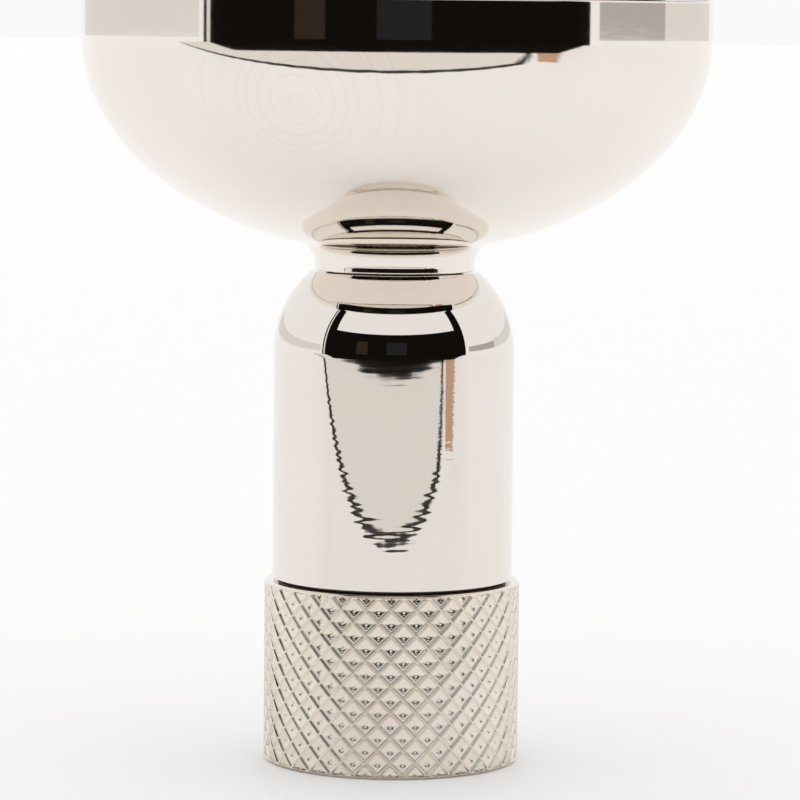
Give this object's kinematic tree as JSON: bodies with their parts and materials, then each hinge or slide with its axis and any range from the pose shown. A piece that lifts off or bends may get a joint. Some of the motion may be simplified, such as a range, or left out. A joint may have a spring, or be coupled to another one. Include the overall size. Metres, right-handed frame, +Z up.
{
  "type": "brass mouthpiece head",
  "caption": "Take-apart trumpet mouthpiece head: rounded screw-on rim, elliptical cup on a short neck, round-shouldered receiver and a turning knurled collar round a shank socket",
  "frame": {"origin": "Centre of the flat base, where the end bush's flange rests on the table", "axes": "+Z runs up the bore from the base to the playing rim and is the turning axis of every piece; +X and +Y are square to it, with -Y towards the viewer"},
  "size_m": [0.0274, 0.0274, 0.0356],
  "materials": {
    "silver_plate": "brass with mirror-polished silver-coloured plate",
    "turned_brass": "fine turned, unplated",
    "dark_nylon": "smooth moulded",
    "black_rubber": "smooth, lightly greased"
  },
  "bodies": {
    "stem": {"receiver_body": "silver_plate", "cup": "silver_plate", "end_bush": "turned_brass", "collar_washer": "dark_nylon", "collar_o_ring": "black_rubber"},
    "collar": {"knurled_collar": "silver_plate"},
    "rim_seal": {"rim_o_ring": "black_rubber"},
    "rim": {"rim": "silver_plate"}
  },
  "joints": [
    {"name": "collar_turn", "type": "hinge", "parent": "stem", "child": "collar", "pos_m": [0, 0, 0.004], "axis": [0, 0, 1], "continuous": true},
    {"name": "rim_lift", "type": "slide", "parent": "stem", "child": "rim_seal", "axis": [0, 0, 1], "range_m": [0, 0.00226]},
    {"name": "rim_turn", "type": "hinge", "parent": "rim_seal", "child": "rim", "pos_m": [0, 0, 0.0325], "axis": [0, 0, 1], "range_deg": [0, 1080]}
  ],
  "couplings": [
    {"joint": "rim_lift", "follows": "rim_turn", "m_per_rad": 0.00011937}
  ]
}
